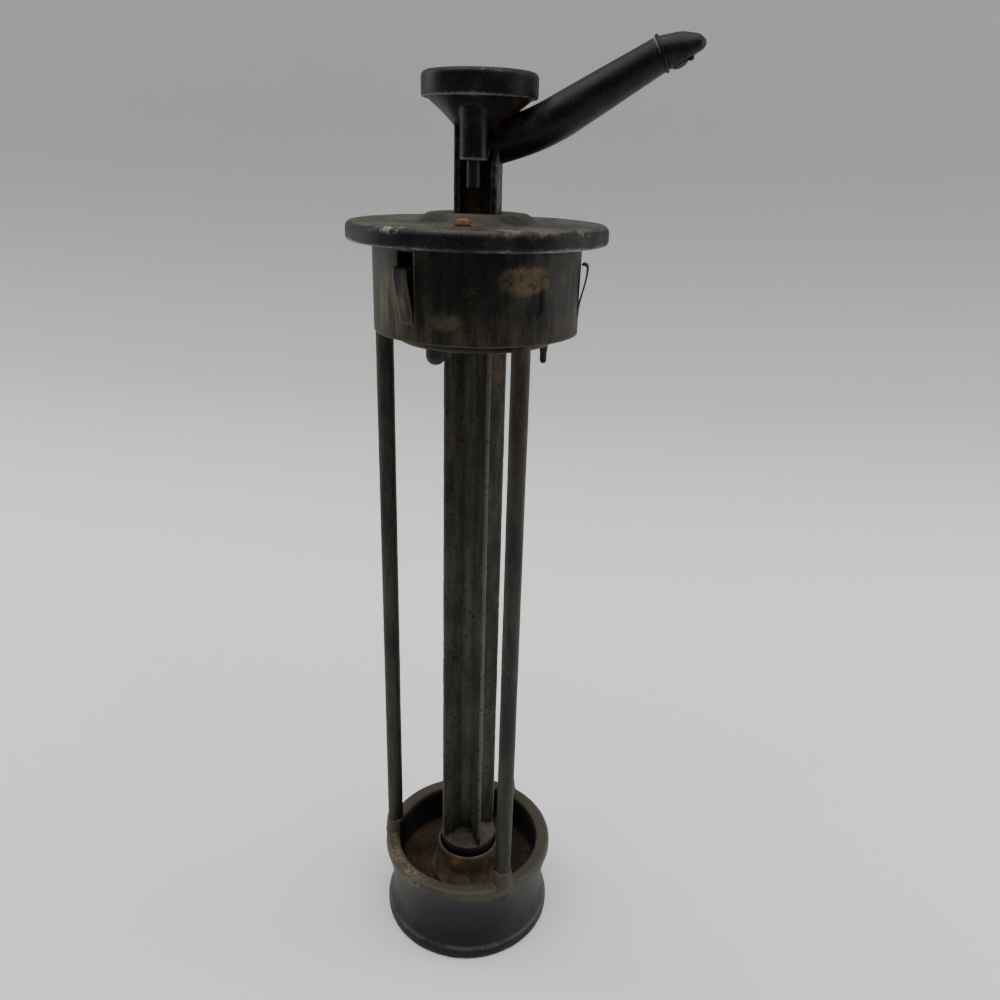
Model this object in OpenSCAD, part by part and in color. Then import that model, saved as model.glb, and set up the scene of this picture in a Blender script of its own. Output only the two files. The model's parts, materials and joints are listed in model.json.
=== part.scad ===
// Soap pump dispenser: a press-button plunger pump on a three-rod cage.
// Millimetres, +Z up. The origin is the centre of the foot's rest face, on the pump axis,
// and the spout points along +X.
// Two bodies work together. The cage (flange, collar, rods, foot cup and cylinder) hangs in the soap tank.
// The plunger (button, head, spout, finned column and piston) slides down in it against a return spring.

/* [Foot cup] */
// Diameter of the foot cup's rim
cup_d = 72.4; // [70:0.2:76]
// Height of the foot cup
cup_h = 36.5; // [34:0.5:40]
// Diameter of the foot cup's waist
waist_d = 66.2; // [65:0.2:68]
// Height of the floor inside the cup
floor_z = 18; // [16:0.5:20]

/* [Pump] */
// Bore of the pump cylinder
bore_d = 24; // [23.6:0.1:24.4]
// How far the plunger travels before the stop screw meets the flange
stroke = 7; // [4:0.5:9]

/* [Cage] */
// Diameter of the cage rods
rod_d = 6.4; // [5.6:0.1:6.8]
// Free length of the rods, from the cup's rim to the collar
rod_span = 223.5; // [150:0.5:260]
// Turn of the three rods from the spout's line
rod_turn = 6; // [0:1:10]

/* [Collar and flange] */
// Outside diameter of the collar
collar_d = 71; // [70.4:0.2:72]
// Height of the collar
collar_h = 29.4; // [28.6:0.2:32]
// Outside diameter of the flange
flange_d = 88; // [84:1:96]
// Height of the flange's rolled rim
flange_h = 6.2; // [5.8:0.1:7]
// Width of each spring tongue
tongue_w = 6; // [4:0.5:8]

/* [Column] */
// Diameter over the column's fins
fin_d = 24.4; // [20:0.2:25]
// Thickness of a fin
fin_t = 1.6; // [1.2:0.1:2.4]
// Turn of the fins from the spout's line
fin_turn = 33; // [0:1:89]

/* [Head and button] */
// Diameter of the button cap
cap_d = 37.6; // [36.6:0.2:42]
// Height of the button cap
cap_h = 7.8; // [7:0.2:10]
// Width of the post across the spout
post_w = 14.4; // [13:0.2:14.6]
// Depth of the post
post_t = 13; // [11:0.2:13]
// Height of the button's lower edge above the flange
button_rise = 37.3; // [36:0.1:44]

/* [Spout] */
// Outside radius of the spout where it leaves the head
spout_r = 6.7; // [6.2:0.1:7]
// Outside radius of the spout at its tip
spout_tip_r = 5.2; // [4.8:0.1:5.6]
// Length of the spout's straight part
spout_len = 34; // [20:1:50]
// Slope of the spout's straight part
spout_slope = 31; // [28:1:36]

/* [Hidden] */
$fn = 72;
gap = 0.3;      // running gap between the plunger and the cage
fit = 0.1;      // gap round a piece that is fixed in its neighbour
cut = 0.5;      // how far a cutting solid runs past a face

// heights of the cage
collar_z = cup_h + rod_span;
flange_z = collar_z + collar_h;
flange_top = flange_z + flange_h;
boss_h = 2.8;
boss_top = flange_top + boss_h;
plate_t = 3.7;
plate_z = collar_z - plate_t;
ring_t = 4.2;
ring_in_r = 20;
ring_top = collar_z + ring_t;

// foot cup and cylinder
rim_w = 6;
rim_r = 1.6;
foot_flat = 4.2;
foot_r = cup_d / 2 - 0.4;
waist_z = 13.6;
flare_z = cup_h - 3.4;
cup_in_r = cup_d / 2 - rim_w;
floor_t = 3.5;
cyl_out_r = bore_d / 2 + 2.2;
cyl_top_r = bore_d / 2 + 1.3;
cyl_foot_r = bore_d / 2 + 4.6;
cyl_top = cup_h - 3;
cyl_bottom = 3;

// rods
rod_r = rod_d / 2;
rod_pcr = collar_d / 2 - rod_r;
socket_depth = 6.5;
rod_foot_z = cup_h - socket_depth + 0.5;
sleeve_h = 8.5;
lug_r = rod_r + 0.3;
spigot_r = 2;
rod_angles = [for (a = [180, 300, 60]) a + rod_turn];
tongue_angles = [0, 120, 240];

// collar and flange
collar_wall = 0.8;
collar_in_r = collar_d / 2 - collar_wall;
tongue_t = 0.6;
tongue_bulge = 2.6;
tongue_len = collar_h * 0.6;
hook_r = 1.5;
sheet = 1.3;
base_t = 1.5;
base_top = flange_z + base_t;
bush_r = 11.4;
plate_r = 27.5;
plate_nut_pcr = 23;
plate_nut_angles = [-116, 122];
plate_nut_r = 3.3;
plate_nut_h = 2.2;
peg_pcr = 24;
peg_r = 1.2;
peg_h = 6.3;
plate_screw_pcr = 24;
plate_screw_angles = [30, 150, 270];
plate_screw_r = 1.5;
plate_screw_head_r = 2.6;
screw_pcr = 23.4;
screw_angles = [-92, 88];
screw_r = 1.5;
screw_head_r = 2.5;

// plunger heights
disc_top = cup_h + 0.9;
disc_t = 1.6;
disc_bottom = disc_top - disc_t;
disc_cone_h = 4.2;
washer_t = 1.6;
nut_z = disc_bottom - washer_t - 4.7;
seat_z = nut_z + 2;
column_top = plate_z - gap;
socket_top = column_top + 10;
cap_z = flange_top + button_rise;
funnel_z = cap_z - 9.6;
stop_y = -10.2;
stop_r = 2.1;
pillar_r = 4.4;
pillar_z = cap_z - 18.3;
stop_z = boss_top + stroke + 0.2;
web_t = 4.8;
wall_t = 2.2;

// column and valve
core_r = 4.2;
duct_r = 2.6;
stem_r = 3.3;
head_duct_r = 1.5;
ball_r = 2.2;
seat_hole_r = 1.4;
ball_z = seat_z + sqrt(ball_r * ball_r - seat_hole_r * seat_hole_r) + 0.05;
ball_lift = 2;
pin_r = 0.6;
pin_z = ball_z + ball_r + ball_lift + pin_r + 0.1;

// return spring
wire_d = 1.4;
coil_r = 11.4;
coils = 5.5;
seat_t = 4.2;
seat_top = flange_z - 1.6;
spring_head = seat_top - seat_t;
washer_z = collar_z;

// spout: a short bend of spout_bend_r, then the straight part
root_slope = 16.3;
spout_bend_r = 75;
spout_wall = 1.2;
root_x = 9.5;
root_z = cap_z - 11.68;
bend_x = root_x + spout_bend_r * (sin(spout_slope) - sin(root_slope));
bend_z = root_z + spout_bend_r * (cos(root_slope) - cos(spout_slope));
ring_tilt = 7;
cut_x = 3.5;
cut_drop = 4;
lip_x = 2.7;
lip_r = 2.6;
lip_t = 0.4;
outlet_screw_x = 6.2;
outlet_screw_r = 0.5;

// ---- helpers ----

// A ring, or a disc where the inner radius is 0, between two heights.
module ring(outer, inner, z0, z1) {
    translate([0, 0, z0])
        difference() {
            cylinder(r = outer, h = z1 - z0);
            if (inner > 0)
                translate([0, 0, -cut]) cylinder(r = inner, h = z1 - z0 + 2 * cut);
        }
}

// Copies of the children round the axis, at one radius.
module around(angles, radius) {
    for (a = angles) rotate([0, 0, a]) translate([radius, 0, 0]) children();
}

// The children in the spout's straight frame: local Z runs along the spout, local X is its underside.
module on_spout() {
    translate([bend_x, 0, bend_z]) rotate([0, 90 - spout_slope, 0]) children();
}

// The opening that the post slides through.
module post_hole(z0, z1) {
    translate([0, 0, z0]) linear_extrude(z1 - z0)
        square([post_w + 2 * gap, post_t + 2 * gap], center = true);
}

// A rectangle with rounded corners.
module rounded_square(w, t, r) {
    square([w - 2 * r, t], center = true);
    square([w, t - 2 * r], center = true);
    for (x = [-1, 1], y = [-1, 1]) translate([x * (w / 2 - r), y * (t / 2 - r)]) circle(r = r);
}

// Points of a flare: the radius grows with the square of the height above or below the waist.
function flare(z_end, r_end, steps, from = 0) = [
    for (i = [from : steps])
        let (t = i / steps)
        [waist_d / 2 + (r_end - waist_d / 2) * t * t, waist_z + (z_end - waist_z) * t]
];

// Points of an arc.
function arc(cx, cy, r, a0, a1, steps) = [
    for (i = [0 : steps])
        let (a = a0 + (a1 - a0) * i / steps)
        [cx + r * cos(a), cy + r * sin(a)]
];

// Points of a list in reverse order.
function backwards(list) = [for (i = [len(list) - 1 : -1 : 0]) list[i]];

// ---- cage ----

module foot_cup() {
    color("dimgray") difference() {
        union() {
            cup_shell();
            // a lug under the rim and a tapered sleeve above it for each rod
            around(rod_angles, rod_pcr) {
                translate([0, 0, cup_h - socket_depth]) sphere(r = lug_r);
                translate([0, 0, cup_h - socket_depth]) cylinder(r = lug_r, h = socket_depth);
                translate([0, 0, cup_h - 1]) cylinder(r1 = rod_r + 1.3, r2 = rod_r + 0.4, h = sleeve_h);
            }
        }
        around(rod_angles, rod_pcr)
            translate([0, 0, rod_foot_z]) cylinder(r = rod_r, h = socket_depth + sleeve_h);
    }
}

module cup_shell() {
    rotate_extrude() polygon(concat(
        [[foot_r - 4, 0]],
        arc(foot_r - 0.8, 0.8, 0.8, -90, 0, 4),
        backwards(flare(foot_flat, foot_r, 8, 1)),
        flare(flare_z, cup_d / 2, 10),
        arc(cup_d / 2 - rim_r, cup_h - rim_r, rim_r, 0, 90, 6),
        arc(cup_in_r + rim_r, cup_h - rim_r, rim_r, 90, 180, 6),
        arc(cup_in_r - 2.5, floor_z + 2.5, 2.5, 0, -90, 5),
        [[cyl_out_r + fit, floor_z]],
        [[cyl_out_r + fit, floor_z - floor_t]],
        [[cup_in_r - 2, floor_z - floor_t]],
        [[cup_in_r, floor_z - floor_t - 2]],
        [[cup_in_r, 4]]
    ));
}

module pump_cylinder() {
    color("saddlebrown") rotate_extrude() polygon(concat(
        [[0, 0]],
        [[cyl_out_r, 0]],
        [[cyl_out_r, floor_z]],
        [[cyl_foot_r, floor_z]],
        [[cyl_foot_r, floor_z + 1]],
        [for (t = [0.2 : 0.2 : 0.8])
            [cyl_foot_r - (cyl_foot_r - cyl_top_r - 0.4) * t * (1.5 - 0.5 * t), floor_z + 1 + 7 * t]],
        [[cyl_top_r, cyl_top - 0.8]],
        [[cyl_top_r - 0.5, cyl_top]],
        [[bore_d / 2 + 0.5, cyl_top]],
        [[bore_d / 2, cyl_top - 0.8]],
        [[bore_d / 2, cyl_bottom]],
        [[0, cyl_bottom]]
    ));
}

module rod(angle) {
    color("darkslategray") rotate([0, 0, angle]) translate([rod_pcr, 0, 0]) {
        translate([0, 0, rod_foot_z]) cylinder(r = rod_r, h = collar_z - rod_foot_z);
        translate([0, 0, collar_z]) cylinder(r = spigot_r, h = ring_t);
    }
}

// The side view of a spring tongue: it leaves the wall, bows outward and curls back in at its free end.
module tongue_profile() {
    r = collar_d / 2;
    blade = [for (t = [0 : 0.125 : 1]) [r + tongue_bulge * (1 - cos(180 * t)) / 2, t * (tongue_len - hook_r)]];
    hook_x = r + tongue_bulge - hook_r;
    hook_z = tongue_len - hook_r;
    polygon(concat(
        blade,
        arc(hook_x, hook_z, hook_r, 10, 130, 8),
        arc(hook_x, hook_z, hook_r - tongue_t, 130, 10, 8),
        [for (i = [len(blade) - 1 : -1 : 0]) blade[i] - [tongue_t, 0]]
    ));
}

module collar() {
    root_z = collar_z + collar_h * 0.2;
    color("darkolivegreen") {
        difference() {
            ring(collar_d / 2, collar_in_r, collar_z, flange_z);
            around(tongue_angles, collar_d / 2)
                translate([-3, -tongue_w / 2 - 0.4, root_z])
                    cube([6, tongue_w + 0.8, flange_z - root_z - 1.4]);
        }
        for (a = tongue_angles) rotate([0, 0, a])
            translate([0, tongue_w / 2, root_z - 0.6])
                rotate([90, 0, 0]) linear_extrude(tongue_w) tongue_profile();
    }
}

module collar_ring() {
    color("dimgray") difference() {
        ring(collar_in_r, ring_in_r, collar_z, ring_top);
        around(rod_angles, rod_pcr)
            translate([0, 0, collar_z - cut]) cylinder(r = spigot_r, h = ring_t + 2 * cut);
        around(plate_screw_angles, plate_screw_pcr)
            translate([0, 0, collar_z - cut]) cylinder(r = plate_screw_r, h = ring_t + 2 * cut);
    }
}

module guide_plate() {
    color("black") difference() {
        rotate_extrude() polygon(concat(
            [[0, plate_z]],
            arc(plate_r - 1.5, plate_z + 1.5, 1.5, -90, 0, 5),
            [[plate_r, collar_z], [0, collar_z]]
        ));
        post_hole(plate_z - cut, collar_z + cut);
        around(plate_screw_angles, plate_screw_pcr)
            translate([0, 0, plate_z - cut]) {
                cylinder(r = plate_screw_r, h = plate_t + 2 * cut);
                cylinder(r1 = plate_screw_head_r + 1, r2 = plate_screw_r, h = cut + 1.8);
            }
    }
}

// What hangs under the plate: two domed nuts with a small lobe beside each, and one slim peg.
module plate_lugs() {
    lobe_h = 3.4;
    color("black") {
        around(plate_nut_angles, plate_nut_pcr) {
            translate([0, 0, plate_z - plate_nut_h]) cylinder(r = plate_nut_r, h = plate_nut_h);
            translate([0, 0, plate_z - plate_nut_h]) mirror([0, 0, 1]) dome(plate_nut_r, plate_nut_r);
            translate([-2.4, 2.8, plate_z - lobe_h]) cylinder(r1 = 1.4, r2 = 2, h = lobe_h);
        }
        translate([peg_pcr, 0, plate_z - peg_h]) {
            sphere(r = peg_r);
            cylinder(r = peg_r, h = peg_h);
            translate([0, 0, 2.3]) cylinder(r1 = peg_r, r2 = peg_r + 0.5, h = peg_h - 2.3);
        }
    }
}

module plate_screws() {
    color("gray") around(plate_screw_angles, plate_screw_pcr) translate([0, 0, plate_z]) {
        cylinder(r1 = plate_screw_head_r, r2 = plate_screw_r, h = 1.3);
        cylinder(r = plate_screw_r, h = plate_t + ring_t - 0.6);
    }
}

module flange_base() {
    color("dimgray") difference() {
        ring(flange_d / 2 - sheet - fit, bush_r + fit, flange_z, base_top);
        around(screw_angles, screw_pcr)
            translate([0, 0, flange_z - cut]) cylinder(r = screw_r, h = base_t + 2 * cut);
    }
}

// The pressed cover: a rolled rim, a flat top and a raised centre boss with sloping shoulders.
module flange_cover() {
    r = flange_d / 2;
    boss_r = 16.5;
    shoulder = 4;
    color("black") difference() {
        rotate_extrude() polygon(concat(
            arc(r - 1.2, flange_z + 1.2, 1.2, -90, 0, 5),
            arc(r - 2.2, flange_top - 2.2, 2.2, 0, 90, 7),
            [[boss_r + shoulder, flange_top], [boss_r + 0.6, boss_top - 0.2], [boss_r, boss_top], [0, boss_top]],
            [[0, boss_top - sheet], [boss_r - 0.3, boss_top - sheet]],
            [[boss_r + shoulder - 0.6, flange_top - sheet]],
            arc(r - 2.3, flange_top - 2.3, 1, 90, 0, 4),
            [[r - sheet, flange_z]]
        ));
        post_hole(flange_z, boss_top + cut);
        around(screw_angles, screw_pcr)
            translate([0, 0, flange_z]) cylinder(r = screw_r + fit, h = flange_h + cut);
        // slot beside the front screw, and a release hole near the rear edge
        rotate([0, 0, screw_angles[0] - 17]) translate([screw_pcr, -3, flange_top - 2 * sheet])
            cube([1.2, 6, 3 * sheet]);
        rotate([0, 0, 53]) translate([38, 0, flange_top - 2 * sheet]) cylinder(r = 2.2, h = 3 * sheet);
    }
}

module cover_spacers() {
    color("gray") around(screw_angles, screw_pcr)
        ring(2.6, screw_r + fit, base_top, flange_top - sheet);
}

module cover_screws() {
    head_h = 2.4;
    color("orangered") around(screw_angles, screw_pcr) difference() {
        translate([0, 0, flange_z - 2]) union() {
            cylinder(r = screw_r, h = flange_h + 2);
            translate([0, 0, flange_h + 2]) cylinder(r = screw_head_r, h = 0.9);
            translate([0, 0, flange_h + 2.9]) dome(screw_head_r, head_h - 0.9);
        }
        translate([-0.4, -3.5, flange_top + 1.5]) cube([0.8, 7, 2]);
    }
}

// A round-head screw's dome, as a cap of a sphere.
module dome(r, h) {
    ball = (r * r + h * h) / (2 * h);
    intersection() {
        translate([0, 0, h - ball]) sphere(r = ball);
        cylinder(r = r + 1, h = h + 1);
    }
}

// Bush that guides the post, held between the base and the cover's boss.
module guide_bush() {
    color("goldenrod") difference() {
        union() {
            ring(bush_r, 0, flange_z - 1, boss_top - sheet);
            ring(15.2, 0, base_top, base_top + 2);
        }
        post_hole(flange_z - 1 - cut, boss_top);
    }
}

module spring_washer() {
    color("gray") ring(13.6, 10, washer_z, washer_z + 1);
}

// Height of the wire's centre line after a number of turns: the end turns lie closed.
function coil_height(turn, low, high) =
    let (pitch = (high - low - 2 * wire_d) / (coils - 2))
    turn < 1 ? low + wire_d * turn :
    turn > coils - 1 ? high - wire_d * (coils - turn) :
    low + wire_d + pitch * (turn - 1);

module return_spring() {
    sides = 8;
    per_turn = 24;
    last = coils * per_turn;
    low = washer_z + 1 + wire_d / 2 + 0.05;
    high = spring_head - wire_d / 2 - 0.05;
    points = [
        for (i = [0 : last], s = [0 : sides - 1])
            let (a = 360 * i / per_turn, b = 360 * s / sides, r = coil_r + wire_d / 2 * cos(b))
            [r * cos(a), r * sin(a), coil_height(i / per_turn, low, high) + wire_d / 2 * sin(b)]
    ];
    walls = [
        for (i = [0 : last - 1], s = [0 : sides - 1])
            let (n = (s + 1) % sides)
            [i * sides + s, i * sides + n, (i + 1) * sides + n, (i + 1) * sides + s]
    ];
    first_end = [for (s = [sides - 1 : -1 : 0]) s];
    last_end = [for (s = [0 : sides - 1]) last * sides + s];
    color("silver") polyhedron(points, concat([first_end, last_end], walls), convexity = 10);
}

// ---- plunger ----

module button_cap() {
    r = cap_d / 2;
    color("black") rotate_extrude() polygon(concat(
        arc(r - 0.6, cap_z + 0.6, 0.6, -90, 0, 3),
        arc(r - 1.8, cap_z + cap_h - 1.8, 1.8, 0, 90, 6),
        [[r - 6, cap_z + cap_h], [0, cap_z + cap_h]],
        [[0, cap_z + cap_h - 2], [r - 1.4, cap_z + cap_h - 2], [r - 1.4, cap_z]]
    ));
}

// The head's flared top: a disc under the cap that sweeps in to the post.
module head_funnel() {
    top_r = cap_d / 2 - 1.5;
    low_r = post_w / 2 + 0.2;
    top_z = cap_z + 0.3;
    sweep = [for (t = [1 : -0.1 : 0]) [low_r + (top_r + 0.3 - low_r) * pow(t, 1.35), funnel_z + (top_z - funnel_z) * t]];
    rotate_extrude() polygon(concat(
        [[0, cap_z + 3.6], [top_r, cap_z + 3.6], [top_r, top_z]],
        [for (p = sweep) [min(p[0], top_r), p[1]]],
        [[0, funnel_z]]
    ));
}

// One piece: the flared top, the H-section post, the stop screw's pillar and the spout's socket.
module pump_head() {
    recess_w = post_w - 2 * wall_t;
    groove = 1.6;
    socket_len = root_x / cos(root_slope);
    color("black") difference() {
        union() {
            head_funnel();
            difference() {
                translate([0, 0, column_top]) linear_extrude(funnel_z + 4 - column_top)
                    rounded_square(post_w, post_t, 0.8);
                // the channel: deep at the rear and below the pillar, a shallow groove beside the pillar
                translate([-recess_w / 2, web_t / 2, socket_top + 4])
                    cube([recess_w, post_t, funnel_z + 1 - socket_top - 4]);
                translate([-recess_w / 2, -web_t / 2 - post_t, socket_top + 4])
                    cube([recess_w, post_t, pillar_z - socket_top - 4]);
                translate([-recess_w / 2, groove - post_t / 2 - post_t, pillar_z - 1])
                    cube([recess_w, post_t, funnel_z + 2 - pillar_z]);
            }
            translate([0, stop_y, pillar_z]) cylinder(r = pillar_r, h = cap_z + 1 - pillar_z);
            translate([-2.4, stop_y, pillar_z]) cube([4.8, -stop_y, funnel_z + 2 - pillar_z]);
            on_root() translate([0, 0, -socket_len]) cylinder(r = spout_r - 0.02, h = socket_len);
        }
        // room for the spout's own start, beside the flare
        on_root() cylinder(r = spout_r + 0.06, h = 6);
        // soap duct up the web, then along the spout
        translate([0, 0, column_top - cut]) cylinder(r = stem_r + 0.05, h = 10 + cut);
        translate([0, 0, column_top]) cylinder(r = head_duct_r, h = root_z - column_top - 1);
        on_root() translate([0, 0, -socket_len - 3.5]) cylinder(r = head_duct_r + 0.5, h = 20);
        // stop screw's hole
        translate([0, stop_y, pillar_z - cut]) cylinder(r = stop_r + 0.05, h = cap_z + 6 - pillar_z);
    }
}

// The children where the spout leaves the head: local Z runs along the spout.
module on_root() {
    translate([root_x, 0, root_z]) rotate([0, 90 - root_slope, 0]) children();
}

// Screw down the pillar that sets the stroke: its head lies under the cap, and its end meets the flange.
module stop_screw() {
    color("black") translate([0, stop_y, 0]) {
        translate([0, 0, stop_z + 1]) cylinder(r = stop_r, h = cap_z + 3.6 - stop_z - 1);
        translate([0, 0, stop_z]) cylinder(r1 = stop_r - 0.9, r2 = stop_r, h = 1);
        translate([0, 0, cap_z + 3.6]) cylinder(r = 4.2, h = 1.8);
    }
}

// Collar on the post that the spring pushes up.
module spring_seat() {
    color("dimgray") difference() {
        ring(13.4, 0, spring_head, seat_top);
        translate([-post_w / 2, -post_t / 2, spring_head - cut]) cube([post_w, post_t, seat_t + 2 * cut]);
        translate([-14, 0, spring_head + seat_t / 2]) rotate([0, 90, 0]) cylinder(r = 1, h = 28);
    }
}

module seat_screws() {
    reach = 13 - post_w / 2;
    color("gray") for (side = [0, 180]) rotate([0, 0, side])
        translate([post_w / 2, 0, spring_head + seat_t / 2]) rotate([0, 90, 0]) cylinder(r = 1, h = reach);
}

// Place [x, z] and slope of the spout's centre line: the bend in even steps, then its straight end.
function spout_line(bend_steps) = concat(
    [for (i = [0 : bend_steps])
        let (a = root_slope + (spout_slope - root_slope) * i / bend_steps)
        [root_x + spout_bend_r * (sin(a) - sin(root_slope)), root_z + spout_bend_r * (cos(root_slope) - cos(a)), a]],
    [[bend_x + spout_len * cos(spout_slope), bend_z + spout_len * sin(spout_slope), spout_slope]]
);

// A tube with a bore, swept along the centre line: one loop of points for each side of the tube.
module spout_tube() {
    sides = 36;
    line = spout_line(8);
    last = len(line) - 1;
    loop = 2 * (last + 1);
    points = [
        for (s = [0 : sides - 1], k = [0 : loop - 1])
            let (
                i = k <= last ? k : loop - 1 - k,
                r = (i < last ? spout_r : spout_tip_r) - (k <= last ? 0 : spout_wall),
                b = 360 * s / sides,
                a = line[i][2]
            )
            [line[i][0] - r * cos(b) * sin(a), r * sin(b), line[i][1] + r * cos(b) * cos(a)]
    ];
    walls = [
        for (s = [0 : sides - 1], k = [0 : loop - 1])
            let (t = (s + 1) % sides, n = (k + 1) % loop)
            [s * loop + k, s * loop + n, t * loop + n, t * loop + k]
    ];
    color("black") polyhedron(points, walls, convexity = 6);
}

// Raised bead over the joint between the tube and the tip, a little out of square.
module spout_ring() {
    bead_r = 0.55;
    inner = spout_tip_r + 0.13;
    color("dimgray") on_spout() translate([0, 0, spout_len]) rotate([0, ring_tilt, 0]) rotate_extrude()
        polygon(concat([[inner, -bead_r]], arc(inner, 0, bead_r, -80, 80, 6), [[inner, bead_r]]));
}

// The children at the joint of tube and tip, with local X level and local Z upright again.
module on_joint() {
    translate([bend_x + spout_len * cos(spout_slope), 0, bend_z + spout_len * sin(spout_slope)]) children();
}

// The beak: a swelling nose that turns down to a point.
module nose(inset) {
    hull() {
        rotate([0, 90 - spout_slope, 0]) cylinder(r = spout_tip_r - inset, h = 0.5, $fn = 32);
        translate([5.6, 0, 1.05]) sphere(r = 5.1 - inset, $fn = 32);
        translate([9.6, 0, 2.7]) sphere(r = 3.1 - inset, $fn = 32);
        translate([11.6, 0, 3.1]) sphere(r = 1.6 - inset, $fn = 24);
    }
}

// The children on the tip's cut face: local X runs along the cut, local Z points up out of the beak.
module on_cut() {
    on_joint() translate([cut_x, 0, -cut_drop]) rotate([0, -spout_slope, 0]) children();
}

module spout_tip() {
    color("black") difference() {
        intersection() {
            on_joint() nose(0);
            on_cut() translate([-10, -10, 0]) cube([30, 20, 20]);
        }
        on_joint() difference() {
            nose(1.1);
            rotate([0, 90 - spout_slope, 0]) translate([0, 0, -20]) cylinder(r = 20, h = 20);
        }
        on_joint() rotate([0, 90 - spout_slope, 0]) translate([0, 0, -1])
            cylinder(r = spout_tip_r - 1.15, h = 2.5);
        on_cut() translate([outlet_screw_x, 0, -1]) cylinder(r = outlet_screw_r + 0.05, h = 2.2);
    }
}

// Rounded lip round the outlet hole.
module outlet_plate() {
    color("gray") on_cut() difference() {
        translate([lip_x, 0, -lip_t]) union() {
            cylinder(r = lip_r, h = lip_t);
            mirror([0, 0, 1]) dome(lip_r, 0.9);
        }
        translate([lip_x, 0, -3]) cylinder(r = 1.1, h = 5);
    }
}

module outlet_screw() {
    head_r = 0.95;
    color("black") on_cut() translate([outlet_screw_x, 0, 0]) rotate_extrude() polygon(concat(
        [[0, 1], [outlet_screw_r, 1], [outlet_screw_r, 0], [head_r, 0]],
        [for (a = [0 : 15 : 75]) [head_r * cos(a), -0.4 - 0.7 * sin(a)]],
        [[0, -1.1]]
    ));
}

// Outline that the fins are turned to: slimmer at the foot, where they enter the cylinder.
module fin_profile() {
    slim_r = bore_d / 2 - gap;
    slim_top = cyl_top + stroke + 1;
    step = max(fin_d / 2 - slim_r, 0);
    rotate_extrude() polygon([
        [0, disc_top], [slim_r, disc_top], [slim_r, slim_top],
        [slim_r + step, slim_top + step + 0.1], [slim_r + step, column_top], [0, column_top]
    ]);
}

// Cross of four fins round a hollow core, cut to the piston's cone at its foot.
module column() {
    color("gray") difference() {
        union() {
            intersection() {
                fin_profile();
                rotate([0, 0, fin_turn]) for (a = [0, 90])
                    rotate([0, 0, a]) translate([-fin_d, -fin_t / 2, disc_top]) cube([2 * fin_d, fin_t, column_top]);
            }
            ring(core_r, 0, disc_top, column_top);
            ring(stem_r, 0, column_top - 1, socket_top);
        }
        disc_cone(0);
        translate([0, 0, disc_top - cut]) cylinder(r = duct_r, h = column_top + 20);
    }
    color("gray") difference() {
        ring(stem_r, duct_r, seat_z + 0.3, disc_top + disc_cone_h + 1);
        translate([-5, 0, pin_z]) rotate([0, 90, 0]) cylinder(r = pin_r, h = 10);
    }
}

// The cone on top of the piston disc.
module disc_cone(hole) {
    rotate_extrude() polygon([
        [hole, disc_top - 0.01], [bore_d / 2 - 0.3, disc_top - 0.01],
        [core_r + 1, disc_top + disc_cone_h * 0.6], [core_r, disc_top + disc_cone_h], [hole, disc_top + disc_cone_h]
    ]);
}

module piston_disc() {
    color("rosybrown") difference() {
        union() {
            rotate_extrude() polygon(concat(
                [[0, disc_bottom]],
                arc(bore_d / 2 - gap - 0.4, disc_bottom + 0.4, 0.4, -90, 0, 2),
                arc(bore_d / 2 - gap - 0.4, disc_top - 0.4, 0.4, 0, 90, 2),
                [[0, disc_top]]
            ));
            disc_cone(0);
        }
        translate([0, 0, disc_bottom - cut]) cylinder(r = stem_r + 0.02, h = 10);
    }
}

module piston_washer() {
    color("peru") ring(bore_d / 2 - 0.1, stem_r + 0.02, disc_bottom - washer_t, disc_bottom);
}

module piston_nut() {
    color("goldenrod") difference() {
        translate([0, 0, nut_z]) cylinder(r = 6.4, h = 4.7, $fn = 6);
        translate([0, 0, seat_z]) cylinder(r = stem_r + 0.02, h = 10);
        translate([0, 0, nut_z - cut]) cylinder(r = seat_hole_r, h = 10);
    }
}

module ball_pin() {
    color("goldenrod") translate([-stem_r, 0, pin_z]) rotate([0, 90, 0]) cylinder(r = pin_r, h = 2 * stem_r);
}

module check_ball() {
    color("silver") translate([0, 0, ball_z]) sphere(r = ball_r);
}

foot_cup();
pump_cylinder();
rod(rod_angles[0]);  // rod_left
rod(rod_angles[1]);  // rod_front
rod(rod_angles[2]);  // rod_rear
collar();
collar_ring();
guide_plate();
plate_lugs();
plate_screws();
flange_base();
flange_cover();
cover_spacers();
cover_screws();
guide_bush();
spring_washer();
return_spring();
button_cap();
pump_head();
stop_screw();
spring_seat();
seat_screws();
spout_tube();
spout_ring();
spout_tip();
outlet_plate();
outlet_screw();
column();
piston_disc();
piston_washer();
piston_nut();
ball_pin();
check_ball();
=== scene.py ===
# %% [markdown]
# A soap pump that sat in a washroom tank for years: black paint rubbed through at its edges, a collar of
# stained sheet, pitted bars and fins, and a heavy cast foot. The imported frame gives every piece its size
# and place. This lesson gives the pieces their real surfaces, and then their finishes.

# %% Load the frame
import bpy, bmesh, json, math
from mathutils import Matrix, Vector, noise


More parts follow.
